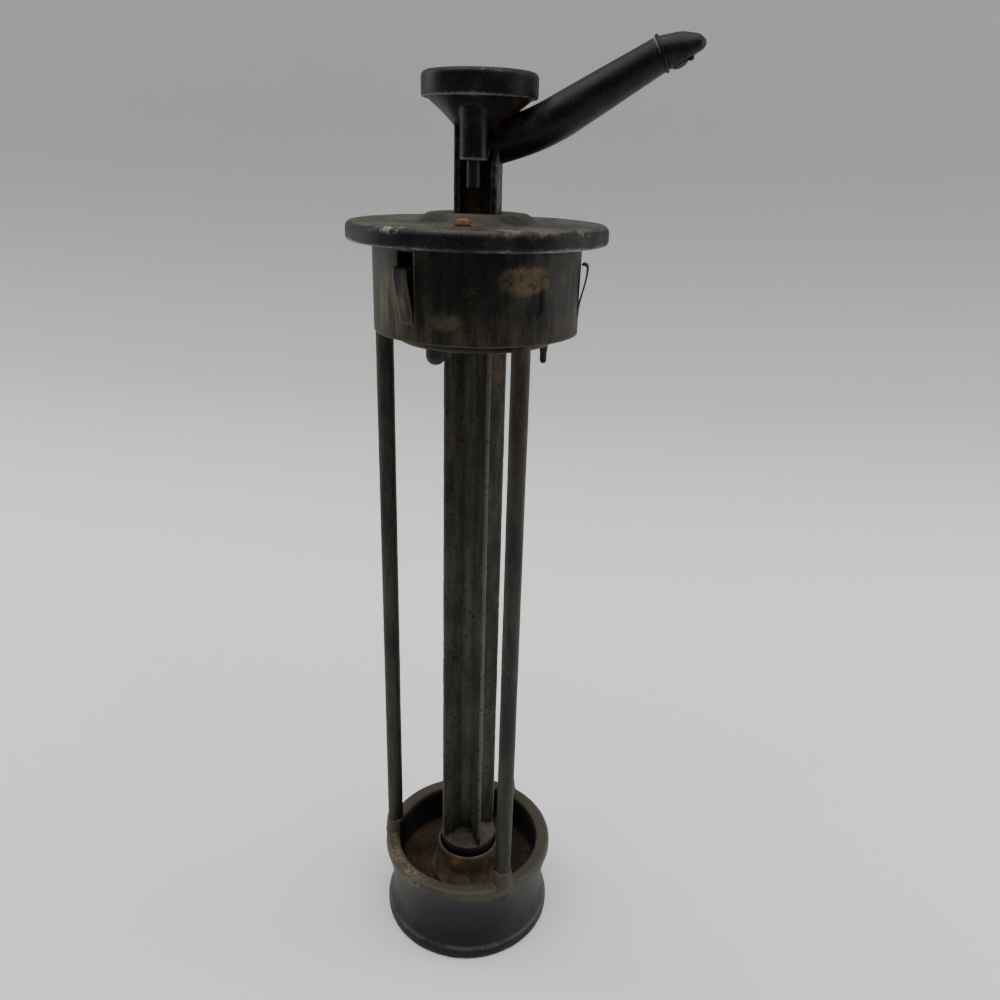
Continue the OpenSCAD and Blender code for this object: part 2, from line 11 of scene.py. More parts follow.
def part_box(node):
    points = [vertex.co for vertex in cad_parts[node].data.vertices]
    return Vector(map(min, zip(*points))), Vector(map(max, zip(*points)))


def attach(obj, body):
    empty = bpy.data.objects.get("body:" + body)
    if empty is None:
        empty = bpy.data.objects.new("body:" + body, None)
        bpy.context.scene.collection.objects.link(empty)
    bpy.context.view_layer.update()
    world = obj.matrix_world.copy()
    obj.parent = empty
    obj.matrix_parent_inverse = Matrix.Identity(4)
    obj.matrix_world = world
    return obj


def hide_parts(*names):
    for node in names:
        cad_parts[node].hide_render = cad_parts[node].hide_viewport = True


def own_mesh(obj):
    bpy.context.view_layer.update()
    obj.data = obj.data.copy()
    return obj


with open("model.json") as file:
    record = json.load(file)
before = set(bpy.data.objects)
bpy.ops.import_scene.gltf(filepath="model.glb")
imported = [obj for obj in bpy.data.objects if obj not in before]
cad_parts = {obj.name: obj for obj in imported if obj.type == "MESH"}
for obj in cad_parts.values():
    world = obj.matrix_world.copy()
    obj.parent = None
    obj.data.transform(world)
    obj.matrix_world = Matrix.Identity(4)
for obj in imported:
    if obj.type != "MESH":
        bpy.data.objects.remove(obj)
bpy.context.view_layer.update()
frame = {"nodes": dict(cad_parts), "record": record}
nodes = frame["nodes"]
MM = 0.001

# %% [markdown]
# The camera looks down on the pump from a hand's height above the button, a little to its right. The
# wide lens makes the head large and the foot small, so its place and its lens belong together.

# %% Camera
EYE = Vector((0.04868, -0.29762, 0.31460))
EYE_TURN = (68.414, -1.495, 7.967)
camera = bpy.data.objects.new("camera", bpy.data.cameras.new("camera"))
bpy.context.scene.collection.objects.link(camera)
camera.location = EYE
camera.rotation_euler = [math.radians(angle) for angle in EYE_TURN]
camera.data.sensor_width = 36
camera.data.lens = 30.838
camera.data.clip_start = 0.01
bpy.context.scene.camera = camera
print("camera at", tuple(EYE))

# %% [markdown]
# Blender's nodes are easier to read as sums. A Wire is one output socket, and Python's operators add the
# Math nodes, so 1 - mask or a * b works. A Tree makes every other node with one method: its settings
# come first, because they decide which sockets are switched on, and then the values or wires of its
# sockets.

# %% Wires and trees
def math_op(operation, *terms):
    """A Math node on wires and numbers. At least one of them is a wire."""
    tree = next(term.tree for term in terms if isinstance(term, Wire))
    return tree.node("ShaderNodeMath", {"operation": operation}, dict(enumerate(terms)))


class Wire:
    """One output socket that Python sums can use."""

    def __init__(self, tree, socket):
        self.tree = tree
        self.socket = socket

    def __add__(self, other):
        return math_op("ADD", self, other)

    def __mul__(self, other):
        return math_op("MULTIPLY", self, other)

    def __sub__(self, other):
        return math_op("SUBTRACT", self, other)

    def __rsub__(self, other):
        return math_op("SUBTRACT", other, self)

    def __truediv__(self, other):
        return math_op("DIVIDE", self, other)

    def __rtruediv__(self, other):
        return math_op("DIVIDE", other, self)

    def at_most(self, other):
        return math_op("MINIMUM", self, other)

    def at_least(self, other):
        return math_op("MAXIMUM", self, other)

    __radd__ = __add__
    __rmul__ = __mul__


class Tree:
    """A node tree with one method that makes any node."""

    def __init__(self, tree):
        self.tree = tree

    def node(self, kind, settings=None, sockets=None, output=None):
        made = self.tree.nodes.new(kind)
        for name, value in (settings or {}).items():
            setattr(made, name, value)
        for key, value in (sockets or {}).items():
            if isinstance(key, str):
                socket = next(s for s in made.inputs if s.name == key and s.enabled)
            else:
                socket = made.inputs[key]
            if isinstance(value, Wire):
                self.tree.links.new(value.socket, socket)
            else:
                socket.default_value = value
        on = [s for s in made.outputs if s.enabled and (output is None or s.name == output)]
        return Wire(self, on[0]) if on else made

    def ramp(self, value, low, high):
        """0 below low and 1 above high, with a soft step between them."""
        return self.node("ShaderNodeMapRange", {"interpolation_type": "SMOOTHSTEP"},
                         {"Value": value, "From Min": low, "From Max": high})


print("a Wire adds Math nodes, a Tree makes the rest")

# %% [markdown]
# The real pieces were cast, pressed or drawn, and then knocked about: their corners are round and their
# faces are never quite true. One Geometry Nodes tree does that to any mesh. It pushes each point along
# its normal by three noises (long dents, casting grain and small pits). It also compares each point with
# the average of its neighbours. A point that stands proud is on an edge, where paint rubs off, and the
# tree keeps that as the attributes "edge" and "hollow" for the finishes to read. The column's finish
# uses them for a painted highlight on its edges and painted shade in its hollows.

# %% The weathering tree
SOCKETS = {float: "NodeSocketFloat", int: "NodeSocketInt", tuple: "NodeSocketVector"}


class Shape(Tree):
    """A Geometry Nodes tree whose inputs have names and starting values."""

    def __init__(self, name, **inputs):
        group = bpy.data.node_groups.new(name, "GeometryNodeTree")
        super().__init__(group)
        group.interface.new_socket("Geometry", in_out="INPUT", socket_type="NodeSocketGeometry")
        for label, start in inputs.items():
            kind = SOCKETS[type(start)]
            made = group.interface.new_socket(label, in_out="INPUT", socket_type=kind)
            made.default_value = start
        group.interface.new_socket("Finish", in_out="INPUT", socket_type="NodeSocketMaterial")
        group.interface.new_socket("Geometry", in_out="OUTPUT", socket_type="NodeSocketGeometry")
        self.given = group.nodes.new("NodeGroupInput")

    def input(self, label):
        return Wire(self, self.given.outputs[label])

    def end(self, geometry):
        whole = self.node("GeometryNodeRealizeInstances", None, {"Geometry": geometry})
        shown = self.node("GeometryNodeSetMaterial", None,
                          {"Geometry": whole, "Material": self.input("Finish")})
        out = self.tree.nodes.new("NodeGroupOutput")
        self.tree.links.new(shown.socket, out.inputs[0])


def vector_op(tree, operation, *terms, output=None):
    return tree.node("ShaderNodeVectorMath", {"operation": operation}, dict(enumerate(terms)), output)


PIT_EDGE = (0.05, 0.45)     # where a pit's wall starts and ends, as a share of the pit's size


def weathering():
    tree = Shape("weathering", dent_size=0.02, dent_depth=0.0, grain_size=0.002, grain_depth=0.0,
                 pit_size=0.003, pit_depth=0.0, edge_reach=8, edge_height=0.00015)
    place = tree.node("GeometryNodeInputPosition")
    normal = tree.node("GeometryNodeInputNormal")
    around = tree.node("GeometryNodeBlurAttribute", {"data_type": "FLOAT_VECTOR"},
                       {"Value": place, "Iterations": tree.input("edge_reach")})
    offset = vector_op(tree, "SUBTRACT", place, around)
    proud = vector_op(tree, "DOT_PRODUCT", offset, normal, output="Value") / tree.input("edge_height")

    def swell(size, depth, detail):
        cloud = tree.node("ShaderNodeTexNoise", None,
                          {"Vector": place, "Scale": 1 / tree.input(size), "Detail": detail})
        return (cloud - 0.5) * tree.input(depth)

    cells = tree.node("ShaderNodeTexVoronoi", None,
                      {"Vector": place, "Scale": 1 / tree.input("pit_size")}, output="Distance")
    pits = tree.ramp(cells, *PIT_EDGE) * tree.input("pit_depth")
    push = swell("dent_size", "dent_depth", 1.0) + swell("grain_size", "grain_depth", 4.0)
    push = push + pits - tree.input("pit_depth")
    shift = tree.node("ShaderNodeVectorMath", {"operation": "SCALE"}, {0: normal, "Scale": push})
    moved = tree.node("GeometryNodeSetPosition", None,
                      {"Geometry": tree.input("Geometry"), "Offset": shift})
    for name, value in (("edge", proud), ("hollow", 0 - proud)):
        moved = tree.node("GeometryNodeStoreNamedAttribute", {"data_type": "FLOAT", "domain": "POINT"},
                          {"Geometry": moved, "Name": name, "Value": value})
    tree.end(moved)
    return tree


WEATHERING = weathering()
print("weathering takes", len(WEATHERING.tree.interface.items_tree) - 1, "inputs")

# %% [markdown]
# A modifier's inputs are set by the socket's identifier, because two sockets may share a name. Once the
# tree has run, the result is kept as a plain mesh and the modifiers are dropped.

# %% Running a tree, and keeping its result
def add_object(name, mesh):
    made = bpy.data.objects.new(name, mesh)
    bpy.context.scene.collection.objects.link(made)
    return made


def apply_tree(piece, shape, finish, **values):
    modifier = piece.modifiers.new(shape.tree.name, "NODES")
    modifier.node_group = shape.tree
    values["Finish"] = finish
    for item in shape.tree.interface.items_tree:
        if item.in_out == "INPUT" and item.name in values:
            modifier[item.identifier] = values[item.name]


def keep_result(piece):
    graph = bpy.context.evaluated_depsgraph_get()
    result = bpy.data.meshes.new_from_object(piece.evaluated_get(graph), preserve_all_data_layers=True,
                                             depsgraph=graph)
    piece.modifiers.clear()
    piece.data = result
    result.polygons.foreach_set("use_smooth", [True] * len(result.polygons))
    return piece


def merged_copy(node):
    """A copy of a node's mesh whose loose triangles are joined at their corners."""
    mesh = nodes[node].data.copy()
    for name in [a.name for a in mesh.attributes if a.name.startswith("custom_normal")]:
        mesh.attributes.remove(mesh.attributes[name])
    work = bmesh.new()
    work.from_mesh(mesh)
    bmesh.ops.remove_doubles(work, verts=work.verts, dist=1e-6)
    work.to_mesh(mesh)
    work.free()
    return mesh


def settle(piece, body, slot, *replaced):
    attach(piece, body)
    if replaced:
        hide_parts(*replaced)
    print(piece.name, "has", len(piece.data.polygons), "faces and rides on", body)


# %% [markdown]
# Each finish is a stack of layers on one shader: a first colour, then stains, wear and flecks, each let
# through by its own mask. The masks come from a few shared patterns (cloudy noise, scattered points, the
# distance from a place) and from the "edge" and "hollow" attributes. All are sized in metres, so grain
# stays at its real scale.

# %% Finish builder
def tone(red, green, blue):
    """A screen colour, each part from 0 to 255, as linear light."""
    parts = [part / 255 for part in (red, green, blue)]
    return tuple(((p + 0.055) / 1.055) ** 2.4 if p > 0.04045 else p / 12.92 for p in parts) + (1.0,)


class Finish(Tree):
    """A material with its shader, its object coordinates and the patterns that the finishes share."""

    def __init__(self, name):
        self.material = bpy.data.materials.new(name)
        self.material.use_nodes = True
        super().__init__(self.material.node_tree)
        self.shader = self.tree.nodes["Principled BSDF"]
        self.place = self.node("ShaderNodeTexCoord", output="Object")
        self.facing = self.node("ShaderNodeTexCoord", output="Normal")

    def stretched(self, stretch, shift):
        return self.node("ShaderNodeMapping", None,
                         {"Vector": self.place, "Scale": stretch,
                          "Location": (shift, shift * 0.7, shift * 1.3)})

    def noise(self, size, detail=4.0, rough=0.55, stretch=(1, 1, 1), shift=0.0):
        """Cloudy noise from 0 to 1 whose lumps are about size metres across."""
        return self.node("ShaderNodeTexNoise", None, {
            "Vector": self.stretched(stretch, shift), "Scale": 1 / size,
            "Detail": detail, "Roughness": rough})

    def cells(self, size, shift=0.0):
        """Distance to the nearest of many scattered points, 0 at each point."""
        return self.node("ShaderNodeTexVoronoi", None,
                         {"Vector": self.stretched((1, 1, 1), shift), "Scale": 1 / size},
                         output="Distance")

    def flecks(self, size, share, spread, shift=0.0):
        """Small round flecks, crowded where a slow noise is high."""
        crowd = self.ramp(self.noise(size * 9, shift=shift), 1 - spread, 1.05 - spread)
        return (1 - self.ramp(self.cells(size, shift), share * 0.6, share)) * crowd

    def attribute(self, name):
        return self.node("ShaderNodeAttribute", {"attribute_name": name}, None, "Fac")

    def mix(self, factor, a, b):
        return self.node("ShaderNodeMix", {"data_type": "RGBA", "clamp_factor": True},
                         {"Factor": factor, "A": a, "B": b})

    def start(self, mask, first, second):
        """The lowest layer: one colour where the mask is 0, and another where it is 1."""
        self.colour = self.mix(mask, first, second)

    def layer(self, mask, colour):
        """A colour over the layers so far, where the mask lets it through."""
        self.colour = self.mix(mask, self.colour, colour)

    def axis(self, name):
        return self.node("ShaderNodeSeparateXYZ", None, {"Vector": self.place}, name)

    def upward(self):
        return self.node("ShaderNodeSeparateXYZ", None, {"Vector": self.facing}, "Z")

    def from_axis(self):
        """Distance from the pump's axis."""
        flat = vector_op(self, "MULTIPLY", self.place, (1, 1, 0))
        return vector_op(self, "LENGTH", flat, output="Value")

    def near(self, centre, reach, soft=0.6, squash=(1, 1, 1)):
        """1 round a centre and 0 further off than reach, both in metres."""
        offset = vector_op(self, "SUBTRACT", self.place, tuple(centre))
        offset = vector_op(self, "MULTIPLY", offset, squash)
        gap = vector_op(self, "LENGTH", offset, output="Value")
        return 1 - self.ramp(gap, reach * (1 - soft), reach)

    def done(self, roughness, metallic=0.0, height=None, relief=0.0, shine=0.5):
        """Wires the shader. Relief is the bump's depth in metres, and shine how strongly it reflects."""
        self.shader.inputs["Specular IOR Level"].default_value = shine
        parts = {"Base Color": self.colour, "Roughness": roughness, "Metallic": metallic}
        for name, value in parts.items():
            socket = self.shader.inputs[name]
            if isinstance(value, Wire):
                self.tree.links.new(value.socket, socket)
            else:
                socket.default_value = value
        if height is not None:
            bump = self.node("ShaderNodeBump", None,
                             {"Height": height, "Distance": relief, "Strength": 1.0})
            self.tree.links.new(bump.socket, self.shader.inputs["Normal"])
        return self.material


print("tone(18, 20, 24) is", [round(part, 4) for part in tone(18, 20, 24)])

# %% [markdown]
# Light comes before colour, or every finish is judged in the wrong light. The room is plain: a pale
# floor that sweeps up into a grey wall, so no line crosses the picture, a broad soft lamp above, one at
# each side, and a weak sky. The sweep's colour turns from the pale floor to the grey wall as it rises:
# that change is painted shade of the light falling off. Nothing bright stands behind the camera, so
# black paint stays black.

# %% Floor, wall and lamps
FLOOR_FRONT = -1.2
FLOOR_BACK = 0.24
SWEEP = 0.14
WALL_HIGH = 1.5
HALF_WIDTH = 1.6
SWEEP_STEPS = 12


def sweep_mesh():
    """Outline of the floor and wall from front to back, drawn along X."""
    outline = [(FLOOR_FRONT, 0.0), (FLOOR_BACK, 0.0)]
    for step in range(1, SWEEP_STEPS + 1):
        angle = math.radians(90 * step / SWEEP_STEPS)
        outline.append((FLOOR_BACK + SWEEP * math.sin(angle), SWEEP * (1 - math.cos(angle))))
    outline.append((FLOOR_BACK + SWEEP, WALL_HIGH))
    verts = [(x, y, z) for x in (-HALF_WIDTH, HALF_WIDTH) for y, z in outline]
    count = len(outline)
    faces = [(i, i + count, i + count + 1, i + 1) for i in range(count - 1)]
    mesh = bpy.data.meshes.new("studio")
    mesh.from_pydata(verts, [], faces)
    mesh.polygons.foreach_set("use_smooth", [True] * len(faces))
    return mesh


def studio_finish():
    finish = Finish("studio_paper")
    # painted shade: the sweep is made darker as it rises, standing in for the light falling off up the wall
    height = finish.ramp(finish.axis("Z"), 0.0, 0.35)
    soft = finish.noise(0.25, detail=2.0)
    finish.start(height, tone(247, 248, 245), tone(162, 165, 165))
    finish.layer(soft * 0.12, tone(205, 206, 204))
    return finish.done(0.75)


studio = add_object("studio", sweep_mesh())
studio.data.materials.append(studio_finish())


def lamp(name, place, aim, size, watts):
    light = bpy.data.lights.new(name, "AREA")
    light.shape = "RECTANGLE"
    light.size, light.size_y = size
    light.energy = watts
    made = add_object(name, light)
    made.location = place
    made.rotation_euler = (Vector(aim) - Vector(place)).to_track_quat("-Z", "Y").to_euler()


lamp("top_lamp", (0.0, -0.1, 1.25), (0, 0.1, 0), (1.8, 1.2), 19.0)
lamp("left_lamp", (-1.0, 0.25, 0.5), (0, 0.05, 0.15), (0.4, 0.9), 3.3)
lamp("right_lamp", (1.0, 0.2, 0.5), (0, 0.05, 0.15), (0.4, 0.9), 3.4)
world = bpy.data.worlds.new("soft_sky")
bpy.context.scene.world = world
world.use_nodes = True
sky = world.node_tree.nodes["Background"]
sky.inputs["Color"].default_value = (0.93, 0.96, 1.0, 1.0)
sky.inputs["Strength"].default_value = 0.14
print("studio is", 2 * HALF_WIDTH, "m wide, with three lamps and a sky")

# %% [markdown]
# The head, button and spout wear one finish: thin black enamel on a pale casting. It looks blue-black
# where it is whole, grey-brown where hands have dulled it, and the casting shows in a fine line along
# the edges. Rust flecks and dried soap gather where the spout meets the post and in the post's channel.

# %% Enamel of the head, button and spout
DEEP_RUST = tone(44, 31, 23)
DUST = tone(110, 104, 92)
BARE = tone(128, 125, 117)


def enamel(name, whole, dull, wear_from, wear_to):
    """Rubbed black enamel. Returns the finish and its masks."""
    finish = Finish(name)
    cloud = finish.noise(0.011, detail=5.0, rough=0.6)
    fine = finish.noise(0.0011, detail=5.0, rough=0.7, shift=3.1)
    drag = finish.noise(0.0013, detail=3.0, stretch=(1, 1, 0.2), shift=1.7)
    edge = finish.attribute("edge")
    rubbed = finish.ramp(cloud + (fine - 0.5) * 0.5, 0.45, 0.75)
    finish.start(rubbed, whole, dull)
    finish.layer(finish.ramp(drag, 0.58, 0.78) * 0.45, dull)
    finish.layer(finish.ramp(fine + (cloud - 0.5) * 0.6, 0.6, 0.78) * 0.4, dull)
    worn = finish.ramp(edge + (fine - 0.5) * 1.6 + (cloud - 0.5) * 1.8, wear_from, wear_to)
    finish.layer(worn * 0.8, BARE)
    finish.layer(finish.flecks(0.0014, 0.13, 0.5, shift=5.0) * 0.65, DUST)
    return finish, {"cloud": cloud, "fine": fine, "worn": worn}


def head_enamel():
    finish, masks = enamel("head_enamel", tone(7, 9, 13), tone(38, 38, 36), 0.6, 1.55)
    cap_z, post_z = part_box("button_cap")[0][2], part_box("pump_head")[0][2]
    root = (0.012, -0.005, cap_z - 5 * MM)
    mottle = finish.noise(0.0035, detail=5.0, rough=0.7, shift=9.0)
    crust = finish.near(root, 0.014, 0.7, (1, 1, 1.5)) * finish.ramp(mottle, 0.35, 0.6)
    finish.layer(crust * 0.85, DEEP_RUST)
    channel = finish.near((0, -0.003, post_z + 45 * MM), 0.024, 0.5, (1.6, 2.2, 1))
    finish.layer(channel * finish.ramp(mottle, 0.42, 0.62) * 0.8, tone(74, 60, 46))
    roughness = finish.ramp(masks["cloud"], 0.3, 0.8) * 0.2 + masks["worn"] * 0.12 + crust * 0.3 + 0.36
    height = masks["fine"] * 0.25 + masks["cloud"] * 0.4 + crust * mottle * 1.5
    return finish.done(roughness, 0.0, height, 0.00018, 0.2)


# %% [markdown]
# The flange's top has lain under years of dust and drips, so its finish starts from which way a face
# looks: faces that look up carry a thin grey-tan film, partly dust and partly painted light from above,
# and the rolled rim below stays black, with worn edges and painted highlights along its upper bevel.

# %% Enamel of the flange
BEVEL = (0.0425, 0.2955)        # radius and height of the rim's upper bevel
# painted highlights on the rim's upper bevel: the angle of each glint in degrees and its colour
BEVEL_GLINTS = {-116: tone(156, 152, 142), -58: tone(112, 100, 80), -32: tone(104, 99, 88)}


def on_circle(radius, angle, height):
    """A point at an angle in degrees round the pump's axis."""
    turn = math.radians(angle)
    return Vector((radius * math.cos(turn), radius * math.sin(turn), height))


def cover_enamel():
    finish, masks = enamel("cover_enamel", tone(7, 8, 12), tone(36, 35, 32), 0.75, 1.7)
    # partly dust, partly painted light: faces that look up are made grey-tan as if lit from above
    dust_and_top_light = finish.ramp(finish.upward(), 0.55, 0.95)
    stain = finish.noise(0.014, detail=6.0, rough=0.65, shift=4.0)
    spots = finish.noise(0.0022, detail=4.0, rough=0.7, shift=7.0)
    dust_and_light_tone = finish.mix(finish.ramp(stain + (spots - 0.5) * 0.5, 0.35, 0.65),
                       tone(46, 43, 38), tone(94, 89, 78))
    dust_and_light_tone = finish.mix(finish.ramp(spots, 0.6, 0.75) * 0.7, dust_and_light_tone, tone(30, 28, 25))
    finish.layer(dust_and_top_light * 0.8, dust_and_light_tone)
    centre = finish.near((0, 0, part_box("flange_cover")[1][2]), 0.022, 0.5)
    finish.layer(centre * finish.ramp(stain, 0.4, 0.7) * 0.6, tone(72, 55, 41))
    # painted highlights: a pale or tan glint laid along the bevel at each angle
    for angle, glint_tone in BEVEL_GLINTS.items():
        bevel_glint = finish.near(on_circle(BEVEL[0], angle, BEVEL[1]), 0.009, 0.5, (1, 1, 4))
        finish.layer(bevel_glint * finish.ramp(spots + stain, 0.95, 1.15) * 0.7, glint_tone)
    roughness = dust_and_top_light * 0.2 + finish.ramp(stain, 0.3, 0.7) * 0.15 - masks["worn"] * 0.1 + 0.4
    height = masks["fine"] * 0.3 + spots * 0.5 + stain * 0.3
    return finish.done(roughness, masks["worn"] * 0.4, height, 0.00015, 0.2)


# %% [markdown]
# The collar is thin plated sheet. Its lacquer has gone olive, water has run down it in streaks, and rust
# climbs from its lower edge. One tan patch is left inside the pressed panel, where a label once kept the
# sheet dry.

# %% Stained sheet of the collar
COLLAR_LOW, COLLAR_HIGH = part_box("collar")[0][2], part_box("collar")[1][2]
WALL_R = 0.0355


def on_collar(angle, rise):
    """A point on the collar's wall, at a height above its lower edge."""
    return on_circle(WALL_R, angle, COLLAR_LOW + rise)


def collar_sheet():
    finish = Finish("collar_sheet")
    cloud = finish.noise(0.012, detail=6.0, rough=0.62)
    streak = finish.noise(0.0035, detail=4.0, rough=0.6, stretch=(1, 1, 0.16), shift=2.0)
    fine = finish.noise(0.0009, detail=5.0, rough=0.75, shift=6.0)
    height = finish.axis("Z") - COLLAR_LOW
    finish.start(finish.ramp(streak + (cloud - 0.5) * 0.8, 0.35, 0.7), tone(10, 10, 9), tone(48, 46, 36))
    dark = finish.near(on_collar(-88, 0.019), 0.021, 0.75, (1, 1, 1.2)) * finish.ramp(cloud, 0.25, 0.55)
    finish.layer(dark * 0.85, tone(6, 7, 9))
    low = 1 - finish.ramp(height + (cloud - 0.5) * 0.018, 0.001, 0.011)
    low = low * finish.ramp(fine + streak, 0.85, 1.2)
    finish.layer(low * 0.65, tone(66, 47, 34))
    label = finish.near(on_collar(-55, 0.0205), 0.0105, 0.35, (1, 1, 1.9))
    label = label * finish.ramp(cloud + fine * 0.6 + streak * 0.3, 0.82, 1.08)
    finish.layer(label * 0.85, tone(100, 86, 58))
    left = finish.near(on_collar(-130, 0.012), 0.011, 0.6, (1, 1, 0.8))
    left = left * finish.ramp(streak, 0.4, 0.6)
    finish.layer(left * 0.7, tone(96, 76, 50))
    scrape = finish.near(on_collar(-96.5, 0.0075), 0.005, 0.5, (0.8, 0.8, 1.4))
    scrape = scrape * finish.ramp(cloud + fine * 0.7, 0.72, 0.9)
    finish.layer(scrape * 0.7, tone(86, 76, 56))
    worn = finish.ramp(finish.attribute("edge") + (fine - 0.5) * 0.8, 0.6, 1.3)
    finish.layer(worn * 0.4, tone(90, 82, 64))
    finish.layer(finish.ramp(fine + (cloud - 0.5) * 0.8, 0.6, 0.76) * 0.45, tone(92, 84, 64))
    finish.layer(finish.flecks(0.0015, 0.16, 0.42, shift=8.0) * 0.45, tone(118, 104, 80))
    roughness = cloud * 0.25 + low * 0.2 + 0.36
    relief = fine * 0.35 + cloud * 0.3 + streak * 0.3 + low * 0.4
    return finish.done(roughness, (1 - low) * 0.2, relief, 0.00015, 0.25)


# %% [markdown]
# The bars are drawn steel with a thin black skin. It has turned brown-grey, with dark streaks along the
# bar, a few pale mineral flecks and small pits, and red rust near the collar.

# %% Skin of the bars
def bar_skin():
    finish = Finish("bar_skin")
    cloud = finish.noise(0.016, detail=5.0, rough=0.6, stretch=(1, 1, 0.5))
    fine = finish.noise(0.0009, detail=5.0, rough=0.75, shift=2.4)
    streak = finish.noise(0.0018, detail=3.0, stretch=(1, 1, 0.08), shift=4.4)
    finish.start(finish.ramp(cloud + (fine - 0.5) * 0.6, 0.35, 0.7), tone(20, 20, 17), tone(54, 51, 43))
    finish.layer(finish.ramp(streak, 0.5, 0.66) * 0.7, tone(12, 12, 11))
    top = finish.ramp(finish.axis("Z"), COLLAR_LOW - 70 * MM, COLLAR_LOW)
    rusty = top * finish.ramp(cloud + fine * 0.5, 0.6, 0.9)
    finish.layer(rusty * 0.6, tone(66, 46, 34))
    finish.layer(finish.flecks(0.0008, 0.2, 0.42, shift=1.0) * 0.4, tone(140, 136, 124))
    pits = finish.ramp(finish.cells(0.0019, 6.0), 0.0, 0.25)
    finish.layer((1 - pits) * 0.5, tone(22, 20, 18))
    return finish.done(fine * 0.25 + 0.4, 0.1, fine * 0.6 + pits * 0.4, 0.00014, 0.3)


# %% [markdown]
# The column and its piston are a soft grey casting, never painted. Soap has etched them grey-green, with
# dark pits and brown runs that start at the top of the fins. Their hollows carry painted shade and their
# edges a painted highlight.

# %% Etched metal of the column and piston
def etched_metal(name, light, dark, runs):
    finish = Finish(name)
    cloud = finish.noise(0.013, detail=6.0, rough=0.62, stretch=(1, 1, 0.45))
    fine = finish.noise(0.0011, detail=6.0, rough=0.75, shift=2.0)
    drag = finish.noise(0.003, detail=4.0, rough=0.6, stretch=(1, 1, 0.1), shift=5.0)
    pits = 1 - finish.ramp(finish.cells(0.0032, 3.0) + (fine - 0.5) * 0.5, 0.08, 0.3)
    finish.start(finish.ramp(cloud * 0.6 + drag * 0.4, 0.36, 0.64), dark, light)
    finish.layer(finish.ramp(fine, 0.5, 0.68) * 0.6, dark)
    finish.layer(pits * finish.ramp(cloud, 0.35, 0.55) * 0.9, tone(16, 14, 12))
    top = finish.ramp(finish.axis("Z"), COLLAR_LOW - 95 * MM, COLLAR_LOW - 8 * MM)
    run = finish.ramp(drag + (cloud - 0.5) * 0.7, 0.5, 0.72) * (top * 0.8 + 0.2) * runs
    finish.layer(run, tone(104, 74, 46))
    # painted shade: points that sink below their neighbours, in the grooves between fins, are darkened
    finish.layer(finish.ramp(finish.attribute("hollow"), 0.2, 1.0) * 0.7, tone(24, 21, 18))
    # painted highlight: proud edges, such as the fins' rounded ends, are made light
    finish.layer(finish.ramp(finish.attribute("edge"), 0.6, 1.6) * 0.35, tone(132, 128, 116))
    return finish.done(cloud * 0.2 + fine * 0.15 + 0.42, 0.15,
                       fine * 0.6 + cloud * 0.3 - pits * 0.5, 0.00016, 0.3)


# %% [markdown]
# The foot cup is the heaviest casting. Its outside keeps a smooth charcoal coat, bluest at the front of
# the waist, with a light line where the foot begins. The rim is a dull tan with a painted highlight at its
# front left, and the inside wall is painted near black as shade, above a rusty floor.

# %% Coat of the foot cup
CUP_HIGH = 0.0365
CUP_IN_R = 0.0306       # the inside wall
# centre of the painted highlight on the rim's front left
RIM_HIGHLIGHT_AT = (-0.016, -0.031, 0.037)
BLUE_AT = (0.004, -0.033, 0.018)


def cup_coat():
    finish = Finish("cup_coat")
    cloud = finish.noise(0.015, detail=5.0, rough=0.6)
    fine = finish.noise(0.001, detail=5.0, rough=0.75, shift=3.0)
    finish.start(finish.ramp(cloud + (fine - 0.5) * 0.4, 0.35, 0.7), tone(26, 26, 25), tone(46, 45, 42))
    blue = finish.near(BLUE_AT, 0.026, 0.45, (1, 1, 1.7))
    finish.layer(blue * finish.ramp(cloud, 0.2, 0.5) * 0.9, tone(14, 15, 21))
    height = finish.axis("Z")
    radius = finish.from_axis()
    rim = finish.ramp(height + (cloud - 0.5) * 0.006, CUP_HIGH - 0.005, CUP_HIGH - 0.002)
    finish.layer(rim * finish.ramp(radius, 0.029, 0.0305) * 0.75, tone(74, 68, 55))
    # painted highlight: a pale tan glint on the rim's front left
    rubbed = rim * finish.near(RIM_HIGHLIGHT_AT, 0.034, 0.6) * finish.ramp(cloud * 0.6 + fine * 0.9, 0.74, 0.96)
    rubbed = rubbed * finish.ramp(radius, 0.031, 0.0325)
    finish.layer(rubbed * 0.7, tone(142, 124, 96))
    # painted shade: the inside wall above the floor is made near black
    inside = (1 - finish.ramp(radius, 0.0298, CUP_IN_R)) * finish.ramp(height, 0.012, 0.014)
    finish.layer(inside * 0.95, tone(8, 9, 12))
    floor = inside * (1 - finish.ramp(height + (cloud - 0.5) * 0.004, 0.019, 0.0225))
    rust = finish.mix(finish.ramp(cloud + (fine - 0.5) * 0.8, 0.35, 0.7),
                      tone(34, 30, 24), tone(74, 58, 43))
    finish.layer(floor, rust)
    ridge = finish.ramp(height, 0.0042, 0.005) * (1 - finish.ramp(height, 0.0056, 0.0066))
    finish.layer(ridge * finish.ramp(fine + cloud, 0.8, 1.1) * 0.6, tone(92, 90, 82))
    foot = 1 - finish.ramp(height + (cloud - 0.5) * 0.0015, 0.0036, 0.0048)
    finish.layer(foot * 0.85, tone(11, 12, 16))
    worn = finish.ramp(finish.attribute("edge") + (fine - 0.5) + (cloud - 0.5), 0.7, 1.5)
    finish.layer(worn * 0.5, tone(98, 92, 80))
    finish.layer(finish.ramp(fine, 0.6, 0.75) * 0.25, tone(104, 100, 88))
    finish.layer(finish.flecks(0.0009, 0.18, 0.4, shift=2.0) * 0.45, tone(140, 136, 124))
    return finish.done(cloud * 0.15 + floor * 0.3 + fine * 0.1 + 0.4, 0.1,
                       fine * 0.35 + cloud * 0.5, 0.0002, 0.25)


